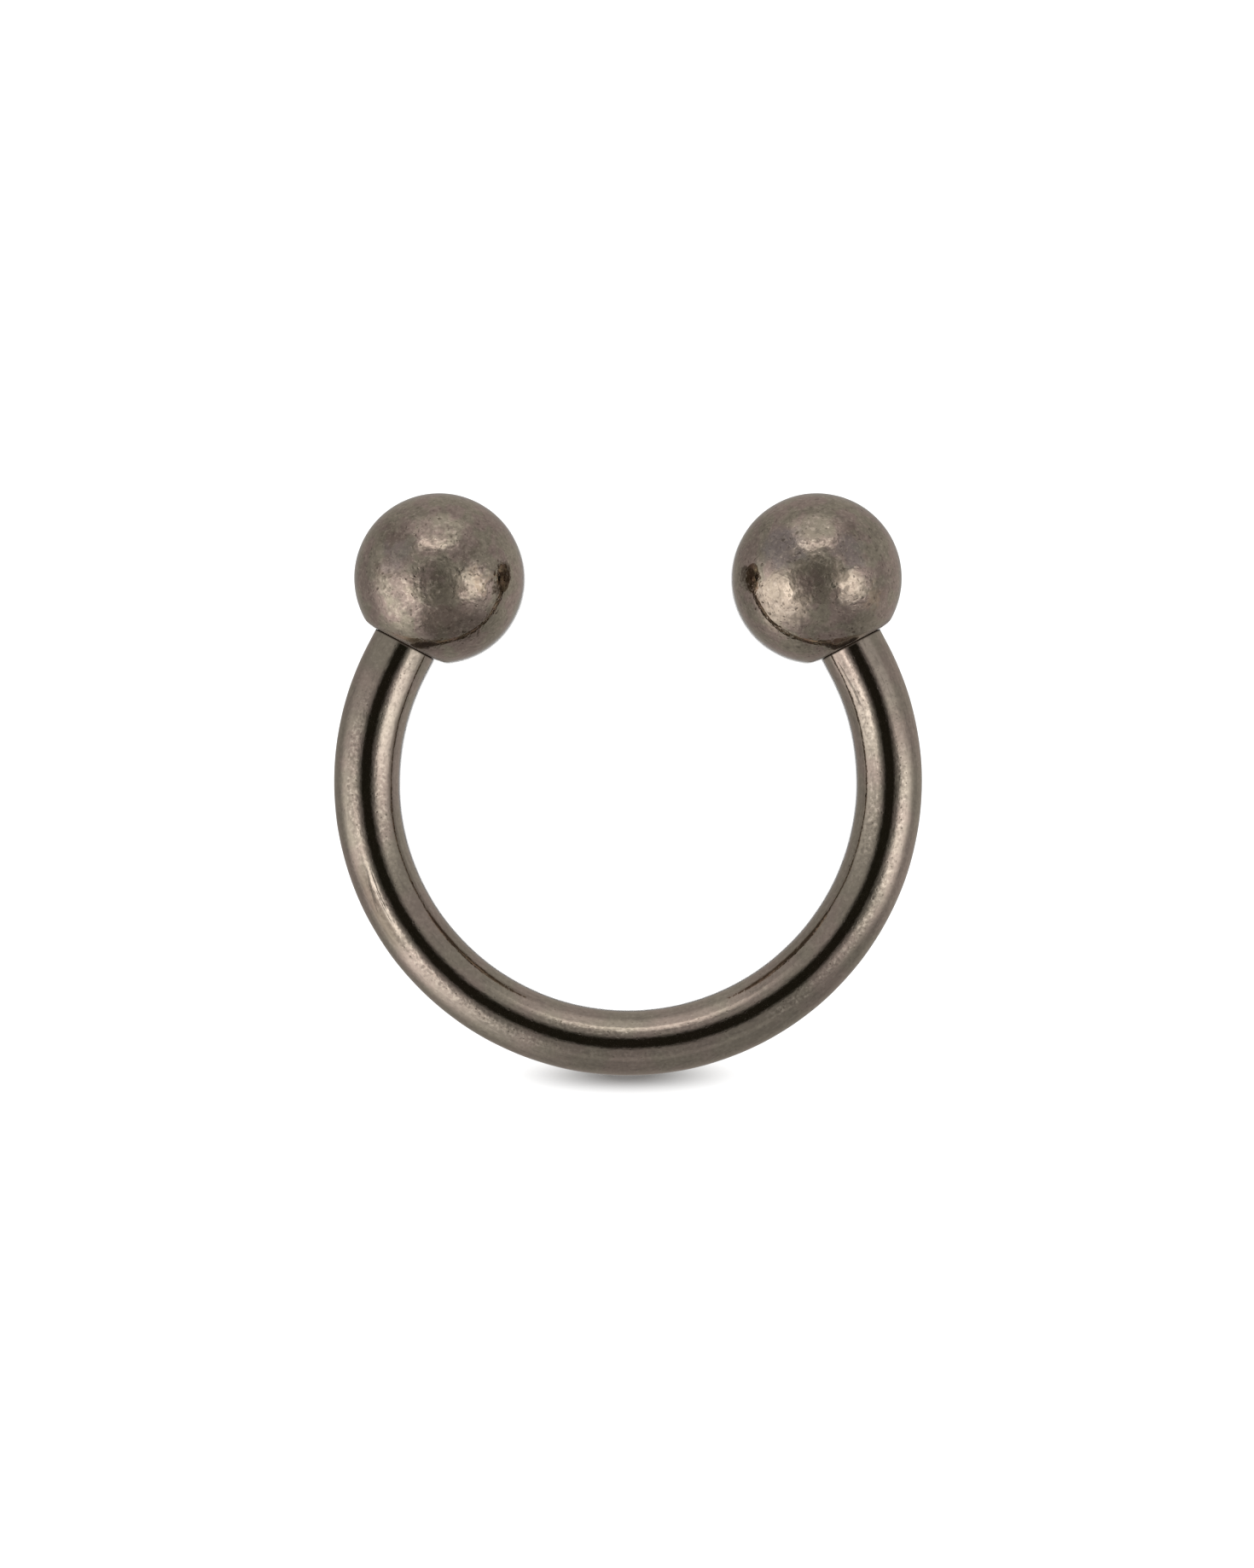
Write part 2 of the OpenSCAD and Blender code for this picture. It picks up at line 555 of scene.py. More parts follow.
def surface_height(nodes, parts):
    """The height of the surface, made up of (mask or noise, its full height) parts."""
    height = 0.0
    for value, full in parts:
        height = nodes.math("ADD", nodes.times(value, full), height)
    return height


# Scratches on the wire: where each starts and ends along the wire from the bottom of the arc, its distance
# from the ring's centre at both ends, and its depth as a share of the deepest
Scratch = namedtuple("Scratch", "start end out_start out_end depth")
SCRATCHES = (
    Scratch(-5.86, -5.1, 4.84, 4.95, 1.0),
    Scratch(-5.62, -4.95, 4.9, 5.0, 0.7),
    Scratch(-5.5, -5.2, 4.86, 4.88, 0.5),
    Scratch(-5.72, -4.95, 4.785, 4.81, 0.6),
    Scratch(-5.45, -4.7, 4.825, 4.845, 0.5),
    Scratch(-6.2, -5.5, 4.87, 4.88, 0.4),
    Scratch(8.65, 9.7, 4.322, 4.25, 1.0),
    Scratch(8.8, 9.0, 4.3, 4.325, 1.0),
)
# Half the width of a scratch, how far it wanders, the length over which its ends fade, and the heights
# above the ring's plane between which the scratches set in
SCRATCH_HALF_WIDTH = 0.018
SCRATCH_WANDER = 0.03
SCRATCH_END_SOFT = 0.15
SCRATCH_SIDE = (0.1, 0.2)


def scratched(nodes, straight):
    """How deep each place of the wire is scratched, from 0 to 1."""
    wander = nodes.math("SUBTRACT", nodes.noise(straight, 6), 0.5)
    along, out, up = nodes.new("ShaderNodeSeparateXYZ", Vector=straight).outputs
    out = nodes.math("ADD", out, nodes.times(wander, SCRATCH_WANDER))
    above = nodes.step(up, *SCRATCH_SIDE)
    mask = 0.0
    for scratch in SCRATCHES:
        slope = (scratch.out_end - scratch.out_start) / (scratch.end - scratch.start)
        line = nodes.math("ADD", nodes.times(along, slope), scratch.out_start - slope * scratch.start)
        off = nodes.math("ABSOLUTE", nodes.math("SUBTRACT", out, line))
        groove = nodes.step(off, SCRATCH_HALF_WIDTH, 0.3 * SCRATCH_HALF_WIDTH, 0.0, scratch.depth)
        begun = nodes.step(along, scratch.start, scratch.start + SCRATCH_END_SOFT)
        not_ended = nodes.step(along, scratch.end, scratch.end - SCRATCH_END_SOFT)
        here = nodes.times(begun, not_ended, above)
        mask = nodes.math("MAXIMUM", nodes.times(groove, here), mask)
    return mask


# Bands of the wire: where each starts and ends along the wire from the bottom of the arc, its inner and
# outer edge from the middle of the wire, and how strong it is. The grain shows in the grained ones. The
# brightened ones are brighter metal where highlights fall, a painted highlight, and the dark ones are
# darker:
# the first two paint the reflection of the ring's far side, and the third darkens the outer edge on the
# lower left.
Band = namedtuple("Band", "start end inner outer strength")
GRAINED_BANDS = (
    Band(-9.2, -1.0, 0.1, 0.36, 1.0),
    Band(-10.2, -5.6, -0.38, -0.12, 0.8),
    Band(-1.9, 2.0, -0.3, -0.1, 0.8),
    Band(2.2, 8.2, 0.1, 0.34, 1.0),
    Band(5.4, 10.2, -0.4, -0.12, 0.9),
    Band(-2.6, 1.6, 0.1, 0.28, 0.4),
)
# Brighter metal where the wire's highlights fall: painted highlight
BRIGHTENED_HIGHLIGHT_BANDS = (
    Band(-10.4, -7.2, -0.44, -0.14, 0.65),
    Band(7.6, 9.7, -0.44, -0.1, 0.5),
    Band(-6.2, -4.2, 0.11, 0.3, 0.7),
    Band(8.2, 10.4, 0.1, 0.36, 0.8),
    Band(5.2, 8.2, 0.12, 0.42, 0.3),
    Band(-4.2, -1.4, 0.14, 0.42, 0.35),
    Band(-4.6, -3.4, 0.2, 0.44, 0.3),
)
PAINTED_DARK_BANDS = (
    # Painted reflection of the ring's far side: a thin dark line near the inner edge
    Band(-9.4, -1.6, -0.485, -0.38, 0.4),
    Band(2.0, 9.4, -0.485, -0.38, 0.4),
    # Darker outer edge of the wire on its lower left
    Band(-6.2, -4.0, 0.23, 0.44, 0.55),
)
# How far the bands' edges fade, on their long sides and at their ends
BAND_SOFT = 0.07
DARK_BAND_SOFT = 0.045
BAND_END_SOFT = 0.8


def banded(nodes, straight, bands, soft):
    """How strongly each place of the wire lies in one of the bands, whose long sides fade over soft."""
    along, out, _ = nodes.new("ShaderNodeSeparateXYZ", Vector=straight).outputs
    mask = 0.0
    for band in bands:
        edges = (
            nodes.step(along, band.start, band.start + BAND_END_SOFT),
            nodes.step(along, band.end, band.end - BAND_END_SOFT),
            nodes.step(out, RING_R + band.inner, RING_R + band.inner + soft),
            nodes.step(out, RING_R + band.outer, RING_R + band.outer - soft, 0.0, band.strength),
        )
        mask = nodes.math("MAXIMUM", nodes.times(*edges), mask)
    return mask


# The direction that the side of the wire with painted shade faces, as shares inwards and down, and how
# closely a place has to face it for the painted shade to set in and to be full
INNER_SIDE = (0.85, 0.53)
INNER_SIDE_EDGE = (0.72, 0.86)


def inner_side(nodes, straight):
    """1 on the side of the wire that faces the inside of the ring and the floor, and 0 elsewhere."""
    _, out, up = nodes.new("ShaderNodeSeparateXYZ", Vector=straight).outputs
    inward = nodes.times(nodes.math("SUBTRACT", out, RING_R), -1 / WIRE_R)
    down = nodes.times(up, -1 / WIRE_R)
    faces = nodes.math("ADD", nodes.times(inward, INNER_SIDE[0]), nodes.times(down, INNER_SIDE[1]))
    return nodes.step(faces, *INNER_SIDE_EDGE)


# The two tints between which the wire's metal varies, and the colours of what lies over it
BAR_TINTS = ((0.345, 0.298, 0.236, 1), (0.372, 0.296, 0.249, 1))
BAR_COLOURS = {
    "painted_highlight_band": (0.52, 0.44, 0.365),
    "blotch": (0.27, 0.227, 0.19),
    "bright grain": (0.62, 0.53, 0.44),
    "dark grain": (0.2, 0.165, 0.135),
    "streak": (0.22, 0.184, 0.154),
    "painted inner shade": (0.055, 0.045, 0.036),
    "painted_dark_band": (0.14, 0.105, 0.075),
    "speck": (0.1, 0.08, 0.06),
    "scratch": (0.14, 0.115, 0.09),
}
# The streaks' noise is drawn out along the wire: it has this share of the waves there
STREAK_STRETCH = (0.2, 1, 1)
# Roughness of the hazy facets
BAR_HAZE = 0.2


def bar_metal():
    """Wire with a high polish: grain in bands, streaks along it, tarnished blotches, small pits and
    scratches.
    It also has painted shade on its inward side and in the seams, and painted highlights and reflections in
    bands.
    """
    material = bpy.data.materials.new("polished_bar_metal")
    nodes = Nodes(material)
    place = in_mm(nodes)
    straight = along_wire(nodes, place)
    stretched = nodes.vector("MULTIPLY", straight, STREAK_STRETCH)
    blotch = nodes.noise(place, 2.2, detail=4, roughness=0.6)
    hue = nodes.noise(place, 1.3)
    mottle = nodes.noise(place, 8)
    grain = nodes.noise(place, 15, detail=1)
    streak = nodes.noise(stretched, 15, detail=3, roughness=0.65)
    speck = pits(nodes, place, 12, 0.024)
    scratch = scratched(nodes, straight)
    # Painted shade in the seams next to the balls
    seam_shade = seam_shade_mask(nodes, *from_joint(nodes, place))
    patchy = nodes.step(nodes.noise(stretched, 4, roughness=0.6), 0.38, 0.58, 0.45, 1.0)
    grained = nodes.times(banded(nodes, straight, GRAINED_BANDS, BAND_SOFT), patchy)
    # Brighter bands where highlights fall: painted highlight
    painted_highlight_band = banded(nodes, straight, BRIGHTENED_HIGHLIGHT_BANDS, BAND_SOFT)
    # Dark bands: painted reflection, and one darker band
    painted_dark_band = banded(nodes, straight, PAINTED_DARK_BANDS, DARK_BAND_SOFT)
    # The side that faces the inside of the ring and the floor, darkened: painted shade
    inside = inner_side(nodes, straight)
    visible_grain = nodes.blend(grained, 0.15, 0.6)
    visible_specks = nodes.blend(grained, 0.25, 0.75)

    tint = nodes.mix(nodes.step(hue, 0.38, 0.62), *BAR_TINTS)
    covers = {
        "painted_highlight_band": painted_highlight_band,
        "blotch": nodes.step(blotch, 0.45, 0.7, 0.0, 0.3),
        "bright grain": nodes.times(nodes.step(grain, 0.52, 0.68), visible_grain),
        "dark grain": nodes.times(nodes.step(grain, 0.48, 0.34), visible_grain),
        "streak": nodes.step(streak, 0.54, 0.68, 0.0, 0.45),
        "painted inner shade": nodes.times(inside, 0.75),
        "painted_dark_band": painted_dark_band,
        "speck": nodes.times(speck, visible_specks),
        "scratch": nodes.times(scratch, 0.5),
    }
    colour = layered(nodes, tint, BAR_COLOURS, covers)
    heights = ((grain, 0.0007), (mottle, 0.002), (streak, 0.0012), (speck, -0.0007), (scratch, -0.005))
    relief = surface_height(nodes, heights)
    extra = nodes.times(grain, 0.004)
    polish = nodes.step(grain, 0.4, 0.7, 0.05, 0.09)
    share = nodes.blend(grained, 0.03, 0.42)
    # The matt coat paints shade on the wire's inward side and in the seams
    shade_coat = nodes.math("MAXIMUM", nodes.times(inside, 0.85), nodes.times(seam_shade, SEAM_SHADE_COVERS))
    shade_coat_colour = nodes.mix(seam_shade, INNER_SHADE_COLOUR, SEAM_SHADE_COLOUR)
    finish_metal(nodes, colour, relief, polish, BAR_HAZE, extra, share, shade_coat, shade_coat_colour)
    return material


# Patches on the balls: their middles from the ball's centre, to the right and up the picture, their radii,
# how much of the radius is as strong as the middle, and how strong that is. All lie on the side of the ball
# that faces the camera. The dull ones are hazy, and the crumpled ones uneven. The dark ones hold darker
# tone, painted shade and painted reflections, as marked in their table, and the brighter ones paint the
# highlights.
Patch = namedtuple("Patch", "ball right up radius core strength")
DULL_PATCHES = (
    Patch("left", 0.02, -0.05, 0.5, 0.7, 1.0),
    Patch("left", 0.15, -0.6, 0.5, 0.6, 0.8),
    Patch("right", -0.18, 0.03, 0.42, 0.8, 1.0),
    Patch("right", 0.16, 0.08, 0.38, 0.75, 1.0),
    Patch("right", 0.0, -0.25, 0.42, 0.75, 1.0),
    Patch("right", 0.15, -0.6, 0.4, 0.6, 0.7),
    Patch("left", 0.0, 0.8, 0.55, 0.4, 0.4),
    Patch("right", 0.0, 0.75, 0.5, 0.4, 0.2),
)
DARK_TONE_AND_PAINTED_SHADE_PATCHES = (
    # Painted reflection: the left ball's middle, where it mirrors the camera's dark hole
    Patch("left", 0.05, -0.35, 0.45, 0.7, 0.4),
    # Darker tone of the metal
    Patch("left", 0.1, -0.8, 0.45, 0.6, 0.6),
    Patch("left", 0.55, -0.85, 0.35, 0.4, 0.45),
    Patch("left", -0.8, 0.8, 0.42, 0.2, 0.45),
    Patch("left", 0.5, 0.45, 0.3, 0.3, 0.45),
    # Painted reflection: the right ball's middle, where it mirrors the camera's dark hole
    Patch("right", -0.23, 0.04, 0.35, 0.88, 0.42),
    Patch("right", 0.14, 0.06, 0.32, 0.88, 0.35),
    Patch("right", -0.12, -0.2, 0.32, 0.88, 0.4),
    Patch("right", 0.1, -0.28, 0.3, 0.88, 0.35),
    # Darker tone of the metal
    Patch("right", 0.6, -0.7, 0.36, 0.3, 0.2),
    Patch("right", 0.5, 0.8, 0.3, 0.3, 0.3),
    # Painted shade next to the joints with the wire
    Patch("left", -0.12, -1.19, 0.2, 0.4, 0.4),
    Patch("right", 0.42, -1.2, 0.24, 0.4, 0.4),
    # Darker tone of the metal
    Patch("left", -0.45, -0.12, 0.34, 0.3, 0.35),
    Patch("left", -1.02, 0.06, 0.34, 0.3, 0.5),
    # Painted reflection of the other ball
    Patch("left", 1.13, 0.08, 0.23, 0.8, 0.95),
    Patch("left", 1.13, -0.09, 0.23, 0.8, 0.95),
    Patch("right", -1.21, 0.08, 0.2, 0.8, 1.0),
    Patch("right", -1.21, -0.08, 0.2, 0.8, 1.0),
)
# Painted shade in the corners between each ball and the wire, on the side that faces the inside of the ring
CORNER_SHADE_PATCHES = (
    Patch("left", -0.42, -1.22, 0.12, 0.5, 0.8),
    Patch("left", -0.33, -1.21, 0.13, 0.4, 0.9),
    Patch("left", -0.24, -1.2, 0.12, 0.4, 0.95),
    Patch("left", -0.15, -1.19, 0.11, 0.4, 0.9),
    Patch("left", -0.06, -1.18, 0.09, 0.4, 0.8),
    Patch("right", 0.06, -1.16, 0.08, 0.4, 0.6),
    Patch("right", 0.14, -1.17, 0.09, 0.4, 0.7),
    Patch("right", 0.22, -1.19, 0.11, 0.4, 0.8),
    Patch("right", 0.33, -1.22, 0.14, 0.4, 0.9),
    Patch("right", 0.47, -1.2, 0.16, 0.4, 1.0),
    Patch("right", 0.62, -1.14, 0.14, 0.4, 1.0),
)
# Brighter metal, laid mostly where the highlights fall so that they show brighter: painted highlight
BRIGHTENED_HIGHLIGHT_PATCHES = (
    Patch("left", -0.05, 0.58, 0.33, 0.5, 0.4),
    Patch("left", 0.55, -0.12, 0.37, 0.6, 0.35),
    Patch("right", -0.66, -0.4, 0.62, 0.7, 0.85),
    Patch("right", -0.15, 0.6, 0.36, 0.6, 0.4),
    Patch("right", 0.56, -0.13, 0.38, 0.7, 0.75),
    Patch("right", 0.95, -0.7, 0.5, 0.3, 0.3),
)
CRUMPLED_PATCHES = (
    Patch("left", -0.5, -0.4, 0.65, 0.75, 1.0),
    Patch("left", -0.05, 0.62, 0.5, 0.7, 1.0),
    Patch("left", 0.6, -0.15, 0.45, 0.7, 1.0),
    Patch("right", -0.5, -0.45, 0.65, 0.75, 1.0),
    Patch("right", -0.05, 0.6, 0.5, 0.7, 1.0),
    Patch("right", 0.6, -0.13, 0.48, 0.7, 1.0),
)
VIOLET_PATCHES = (
    Patch("right", -0.65, 0.55, 0.55, 0.4, 0.7),
    Patch("right", 0.55, 0.5, 0.4, 0.4, 0.5),
    Patch("left", -0.75, 0.4, 0.4, 0.4, 0.4),
)
WARM_PATCHES = (
    Patch("left", 0.75, -0.12, 0.25, 0.4, 0.5),
    Patch("right", 1.0, -0.35, 0.35, 0.4, 0.5),
)


def patch_mask(nodes, ragged, patches):
    """How strongly each place lies in one of the patches."""
    mask = 0.0
    for patch in patches:
        centre = (SIDES[patch.ball] * BALL_X, BALL_Y, 0)
        middle = AT_REST @ Vector(on_front(patch.right, patch.up) + centre)
        away = nodes.vector("LENGTH", nodes.vector("SUBTRACT", ragged, middle))
        inside = nodes.step(away, patch.radius, patch.core * patch.radius, 0.0, patch.strength)
        mask = nodes.math("MAXIMUM", inside, mask)
    return mask


def facing_up(nodes, place):
    """How far each place of a ball faces the camera, from 0 at its sides to 1 at its top."""
    off = nodes.vector("SUBTRACT", place, AT_REST.translation)
    return nodes.vector("DOT_PRODUCT", off, AT_REST.col[2].xyz / BALL_R)


def wrinkles(nodes, place, per_mm, width):
    """1 on short thin wavy lines and 0 between them. The second noise breaks the lines up."""
    wave = nodes.noise(place, per_mm, detail=1)
    line = nodes.step(nodes.math("ABSOLUTE", nodes.math("SUBTRACT", wave, 0.5)), width, 0.2 * width)
    return nodes.times(line, nodes.step(nodes.noise(place, 0.9 * per_mm, detail=1), 0.46, 0.6))


# The two tints between which the balls' metal varies, and the colours of what lies over it
BALL_TINTS = ((0.34, 0.295, 0.226, 1), (0.357, 0.272, 0.234, 1))
BALL_COLOURS = {
    "violet": (0.3, 0.26, 0.25),
    "painted_highlight_patch": (0.47, 0.382, 0.3),
    "warm": (0.5, 0.36, 0.25),
    "cloud": (0.25, 0.205, 0.168),
    # Laid by the dark patches: darker tone, painted shade and painted reflections
    "dark": (0.14, 0.108, 0.08),
    "bright grain": (0.6, 0.5, 0.41),
    "bright relief": (0.6, 0.5, 0.41),
    "dark relief": (0.18, 0.147, 0.12),
    "wrinkle": (0.15, 0.122, 0.1),
    "pit": (0.08, 0.06, 0.044),
}
# How far the outlines stray: those of the patches, and those of the pits and of the painted shade in the
# corners
PATCH_RAGGED = 0.8
PIT_JAGGED = 0.25


def ball_metal():
    """Pitted ball: a fine uneven grain, wrinkles, darkened pits, tarnished clouds and duller patches.
    It also has painted shade in the seam, its corners and the rim round the wire, painted reflections in
    dark patches, and painted highlights in brighter ones.
    """
    material = bpy.data.materials.new("pitted_ball_metal")
    nodes = Nodes(material)
    place = in_mm(nodes)
    sideways = nodes.new("ShaderNodeTexNoise", Vector=place, Scale=3.5, Detail=3.0).outputs["Color"]
    wander = nodes.vector("SUBTRACT", sideways, (0.5, 0.5, 0.5))
    ragged = nodes.vector("ADD", place, nodes.vector("SCALE", wander, PATCH_RAGGED))
    jagged = nodes.vector("ADD", place, nodes.vector("SCALE", wander, PIT_JAGGED))
    dull = patch_mask(nodes, ragged, DULL_PATCHES)
    # Dark patches: darker tone, painted shade and painted reflections
    dark = patch_mask(nodes, ragged, DARK_TONE_AND_PAINTED_SHADE_PATCHES)
    # Brighter metal under the highlights: painted highlight
    painted_highlight_patch = patch_mask(nodes, ragged, BRIGHTENED_HIGHLIGHT_PATCHES)
    crumpled = patch_mask(nodes, ragged, CRUMPLED_PATCHES)
    violet = patch_mask(nodes, ragged, VIOLET_PATCHES)
    warm = patch_mask(nodes, ragged, WARM_PATCHES)
    # Painted shade in the corners between the ball and the wire
    corners = patch_mask(nodes, jagged, CORNER_SHADE_PATCHES)
    off_flat, away = from_joint(nodes, place)
    # Painted shade in the seam next to the wire
    seam_shade = seam_shade_mask(nodes, off_flat, away)
    near_joint = past_wire(nodes, away, *RIM_PAST_WIRE)
    hazy = nodes.math("MAXIMUM", dull, nodes.times(near_joint, 0.9))
    cloud = nodes.noise(place, 1.6, detail=4, roughness=0.6)
    hue = nodes.noise(place, 2.4)
    mottle = nodes.noise(place, 4.5)
    relief = nodes.noise(place, 10, detail=1, roughness=0.4)
    grain = nodes.noise(place, 19, detail=1)
    wrinkle = wrinkles(nodes, place, 8, 0.07)
    speck = pits(nodes, jagged, 8, 0.038)
    fleck = pits(nodes, jagged, 13, 0.024)
    clustered = nodes.step(cloud, 0.35, 0.6, 0.5, 1.0)
    pitted = nodes.times(nodes.math("MAXIMUM", speck, nodes.times(fleck, 0.8)), clustered)
    visible_grain = nodes.blend(dull, 0.3, 0.1)
    visible_relief = nodes.blend(crumpled, 0.22, 0.5)

    tint = nodes.mix(nodes.step(hue, 0.42, 0.58), *BALL_TINTS)
    covers = {
        "violet": violet,
        "painted_highlight_patch": painted_highlight_patch,
        "warm": warm,
        "cloud": nodes.step(cloud, 0.46, 0.62, 0.0, 0.35),
        "dark": dark,
        "bright grain": nodes.times(nodes.step(grain, 0.52, 0.68), visible_grain),
        "bright relief": nodes.times(nodes.step(relief, 0.56, 0.7), visible_relief),
        "dark relief": nodes.times(nodes.step(relief, 0.46, 0.3), visible_relief),
        "wrinkle": nodes.times(wrinkle, 0.3),
        "pit": nodes.times(pitted, 0.65),
    }
    colour = layered(nodes, tint, BALL_COLOURS, covers)
    crumple = nodes.times(crumpled, nodes.step(facing_up(nodes, place), 0.66, 0.82))
    bumps = nodes.times(relief, nodes.blend(crumple, 0.1, 1.0))
    heights = ((bumps, 0.0075), (grain, 0.0002), (mottle, 0.0015), (wrinkle, -0.0005), (pitted, -0.003))
    smooth = surface_height(nodes, heights)
    extra = surface_height(nodes, ((grain, 0.003), (relief, 0.006)))
    polish = nodes.blend(crumple, 0.03, 0.1)
    haze = nodes.blend(hazy, 0.2, 0.42)
    share = nodes.blend(hazy, 0.03, 0.95)
    # A darker matt rim on the ball round the wire: painted shade, over hazier metal
    rim = nodes.times(nodes.math("POWER", near_joint, 3.0), 0.55)
    # The matt coat paints shade in the corners, in the seam and on the rim round the wire
    darkest = nodes.math("MAXIMUM", corners, nodes.times(seam_shade, SEAM_SHADE_COVERS))
    shade_coat = nodes.math("MAXIMUM", rim, darkest)
    shade_coat_colour = nodes.mix(nodes.step(darkest, 0.0, 0.4), RIM_SHADE_COLOUR, SEAM_SHADE_COLOUR)
    finish_metal(nodes, colour, smooth, polish, haze, extra, share, shade_coat, shade_coat_colour)
    return material


def floor_finish():
    material = bpy.data.materials.new("pale_floor")
    nodes = Nodes(material)
    shader = nodes.new("ShaderNodeBsdfPrincipled", Base_Color=FLOOR_COLOUR, Roughness=FLOOR_ROUGHNESS)
    nodes.new("ShaderNodeOutputMaterial", Surface=shader.outputs[0])
    return material


# Light


# A soft panel of the light tent, as it would be seen from the ring, with its angles in degrees. turn goes
# anticlockwise round the camera's axis from the right of the picture. The panel keeps its light for
# half_width on both sides of that and fades over side_soft, and it fades in and out over the angles of rise
# and fall away from the axis. Panels whose light is less than 0 are darker strips of the tent.
Panel = namedtuple("Panel", "name turn half_width side_soft rise fall light")
PANELS = (
    Panel("right", 348, 0, 42, (24, 38), (42, 93), 1.3),
    Panel("top_window", 95, 0, 46, (38, 49), (55, 61), 0.93),
    Panel("top_panel", 91, 16, 22, (47, 56), (75, 106), 0.4),
    Panel("left", 200, 3, 48, (26, 45), (76, 111), 0.97),
    Panel("left_window", 206, 0, 30, (32, 43), (46, 56), 0.66),
    Panel("left_seam", 207, 4, 9, (43, 53), (65, 78), -0.25),
    Panel("lower_left", 231, 10, 22, (36, 42), (90, 135), 0.3),
    Panel("below", 282, 40, 15, (24, 30), (95, 136), -0.13),
    Panel("below_seam", 272, 30, 15, (46, 56), (60, 72), 0.09),
    Panel("right_limb", 0, 20, 30, (104, 116), (140, 170), 0.13),
    Panel("top_limb", 85, 25, 30, (98, 112), (140, 170), 0.1),
)
# The cloth's own light on the camera's side of the ring and on the floor's side, and the angles from the
# camera's axis over which it changes
TENT_LIGHT = 0.488
TENT_LIGHT_BELOW = 0.42
TENT_HORIZON = (95, 125)
# The hole for the camera: the angles from the axis over which it ends, and its colour as a share of the
# light round it
LENS_HOLE = (12, 33)
LENS_COLOUR = (0.0505, 0.048, 0.036, 1)
# What the tent gives the floor, and what the camera sees of it past the floor's edge
TENT_ON_FLOOR = 0.4
TENT_SEEN = 0.95

# The lamp, and the angle in degrees that it fills as seen from the floor
LAMP_STRENGTH = 4.0
LAMP_ANGLE = 2


def tent_directions(nodes):
    """The direction of a ray: a unit vector round the camera's axis, and the tilt from it in degrees."""
    ray = nodes.new("ShaderNodeTexCoord").outputs["Generated"]
    untilt = (-REST_TILT, 0, 0)
    turned = nodes.new("ShaderNodeMapping", {"vector_type": "POINT"}, Vector=ray, Rotation=untilt)
    seen = nodes.vector("NORMALIZE", turned.outputs[0])
    tilt = nodes.math("ARCCOSINE", nodes.vector("DOT_PRODUCT", seen, (0, 0, 1)))
    flat = nodes.vector("MULTIPLY", seen, (1, 1, 0))
    around = nodes.vector("NORMALIZE", flat)
    return around, nodes.math("DEGREES", tilt)


def panel_light(nodes, panel, around, tilt):
    """How bright a panel is in a direction."""
    turn = math.radians(panel.turn)
    off = nodes.vector("DOT_PRODUCT", around, (math.cos(turn), math.sin(turn), 0))
    off = nodes.math("DEGREES", nodes.math("ARCCOSINE", off))
    across = nodes.step(off, panel.half_width + panel.side_soft, panel.half_width)
    rise = nodes.step(tilt, *panel.rise)
    fall = nodes.step(tilt, *panel.fall, panel.light, 0.0)
    return nodes.times(across, rise, fall)


def light_tent():
    """A tent of white cloth with soft panels of light, and a hole that the camera looks through."""
    world = bpy.data.worlds.new("light_tent")
    world.cycles.sampling_method = "NONE"
    bpy.context.scene.world = world
    nodes = Nodes(world)
    around, tilt = tent_directions(nodes)
    light = nodes.step(tilt, *TENT_HORIZON, TENT_LIGHT, TENT_LIGHT_BELOW)
    for panel in PANELS:
        light = nodes.math("ADD", panel_light(nodes, panel, around, tilt), light)
    cloth = nodes.mix(nodes.step(tilt, *LENS_HOLE), LENS_COLOUR, (1, 1, 1, 1))
    light = nodes.vector("SCALE", cloth, light)
    ray = nodes.new("ShaderNodeLightPath").outputs
    plain = nodes.blend(ray["Is Camera Ray"], TENT_ON_FLOOR, TENT_SEEN)
    mixed = nodes.new("ShaderNodeMixShader", Fac=ray["Is Glossy Ray"])
    for place, colour in ((1, plain), (2, light)):
        background = nodes.new("ShaderNodeBackground", Color=colour)
        nodes.put(mixed.inputs[place], background.outputs[0])
    nodes.new("ShaderNodeOutputWorld", Surface=mixed.outputs[0])


def light_floor():
    """A lamp that shines the way the camera looks. It lights what is matt, and no metal mirrors it."""
    data = bpy.data.lights.new("floor_light", "SUN")
    data.energy = LAMP_STRENGTH
    data.angle = math.radians(LAMP_ANGLE)
    lamp = bpy.data.objects.new("floor_light", data)
    lamp.rotation_euler = AT_REST.to_euler()
    lamp.visible_glossy = False
    bpy.context.scene.collection.objects.link(lamp)


# The scrim: a small oval gauze just above the floor. Its shade falls off from its middle along a bell curve
# that has its own spread along X and along Y, and its rim lies SCRIM_REACH spreads out.
SCRIM_MIDDLE = (0, -5.08, 0.1)
SCRIM_SPREAD = (1.15, 0.196)
SCRIM_REACH = 2.6
SCRIM_SHADE = 1.04
SCRIM_AROUND = 48


def scrim_gauze():
    """Stops the light in the middle of the oval and lets more and more through towards its edge."""
    material = bpy.data.materials.new("scrim_gauze")
    nodes = Nodes(material)
    off = nodes.vector("SUBTRACT", in_mm(nodes), SCRIM_MIDDLE)
    off = nodes.vector("MULTIPLY", off, (1 / SCRIM_SPREAD[0], 1 / SCRIM_SPREAD[1], 0))
    squared = nodes.vector("DOT_PRODUCT", off, off)
    shade = nodes.times(nodes.math("EXPONENT", nodes.times(squared, -0.5)), SCRIM_SHADE)
    clear = nodes.math("MAXIMUM", nodes.math("SUBTRACT", 1.0, shade), 0.0)
    gauze = nodes.new("ShaderNodeBsdfTransparent", Color=clear)
    nodes.new("ShaderNodeOutputMaterial", Surface=gauze.outputs[0])
    return material


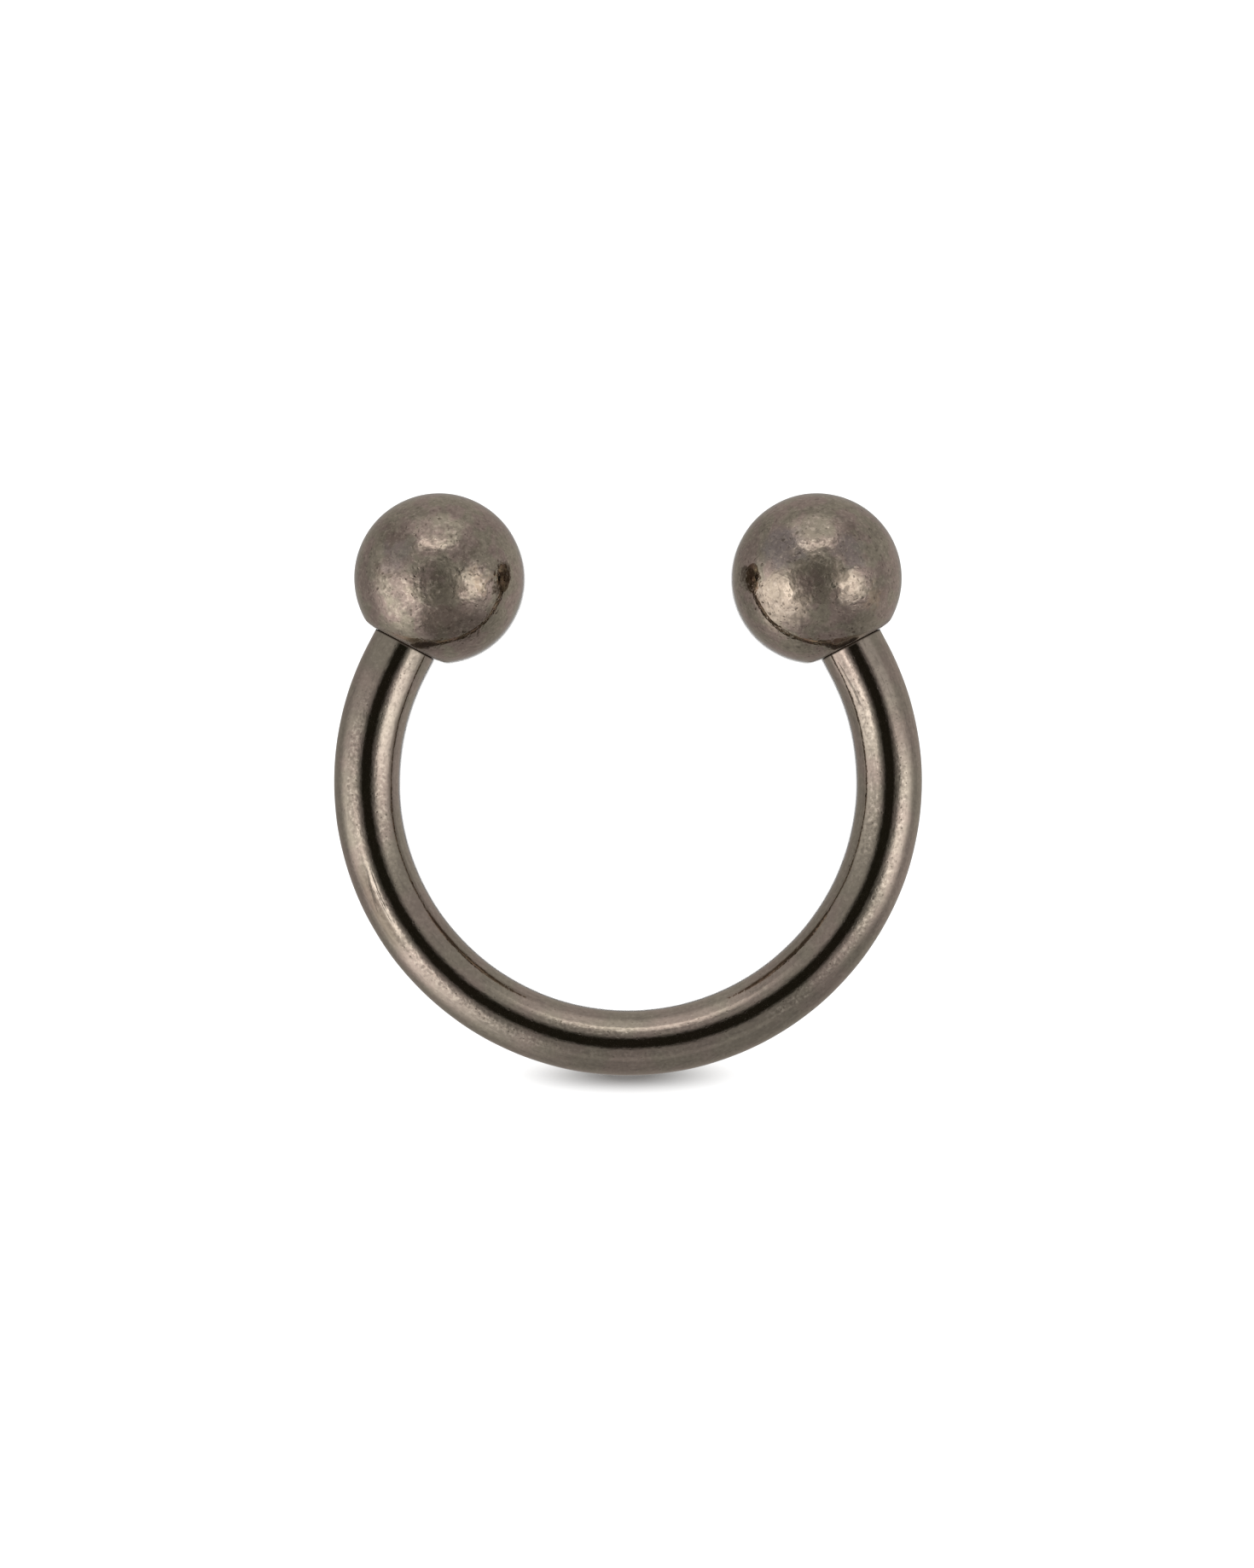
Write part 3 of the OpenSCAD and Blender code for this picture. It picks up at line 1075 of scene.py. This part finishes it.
def hang_scrim():
    """Keeps the lamp's light off the floor round the bottom of the arc. It shows nowhere itself."""
    turns = np.linspace(0, 2 * math.pi, SCRIM_AROUND, endpoint=False)
    circle = np.stack([np.cos(turns), np.sin(turns), np.zeros(SCRIM_AROUND)], axis=1)
    rim = np.array(SCRIM_MIDDLE) + circle * (*SCRIM_SPREAD, 0) * SCRIM_REACH
    mesh = bpy.data.meshes.new("scrim")
    mesh.from_pydata((rim * MM).tolist(), [], [list(range(SCRIM_AROUND))])
    mesh.materials.append(scrim_gauze())
    scrim = bpy.data.objects.new("scrim", mesh)
    scrim.visible_camera = False
    scrim.visible_diffuse = False
    scrim.visible_glossy = False
    bpy.context.scene.collection.objects.link(scrim)


def lay_floor():
    mesh = bpy.data.meshes.new("floor")
    half = FLOOR_HALF * MM
    corners = [(-half, -half, 0), (half, -half, 0), (half, half, 0), (-half, half, 0)]
    mesh.from_pydata(corners, [], [(0, 1, 2, 3)])
    floor = bpy.data.objects.new("floor", mesh)
    bpy.context.scene.collection.objects.link(floor)
    mesh.materials.append(floor_finish())
    floor.visible_glossy = False


def set_camera():
    """Looks straight at the ring's plane, as the photograph does."""
    data = bpy.data.cameras.new("camera")
    data.lens = LENS
    data.sensor_width = SENSOR
    distance = LENS / SENSOR * PHOTO_H / PX_PER_MM
    aside = (PHOTO_W / 2 - RING_AT_PX[0]) / PX_PER_MM
    above = (RING_AT_PX[1] - PHOTO_H / 2) / PX_PER_MM
    data.clip_start = distance * MM / 100
    data.clip_end = FAR * MM
    camera = bpy.data.objects.new("camera", data)
    place = AT_REST @ Matrix.Translation((aside, above, distance))
    camera.matrix_world = Matrix.Translation(place.translation * MM) @ place.to_3x3().to_4x4()
    bpy.context.scene.collection.objects.link(camera)
    bpy.context.scene.camera = camera


def dress(piece, node, body, material):
    """piece takes a CAD node's place, rides on its body and wears that material."""
    piece.data.materials.append(material)
    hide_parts(node)
    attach(piece, body)


dress(make_bar(), "curved_bar", "bar", bar_metal())
balls_finish = ball_metal()
dress(make_ball("left_ball", -1), "ball_left", "ball_left", balls_finish)
dress(make_ball("right_ball", 1), "ball_right", "ball_right", balls_finish)
lay_floor()
light_tent()
light_floor()
hang_scrim()
set_camera()
bpy.context.scene.view_settings.view_transform = "Standard"
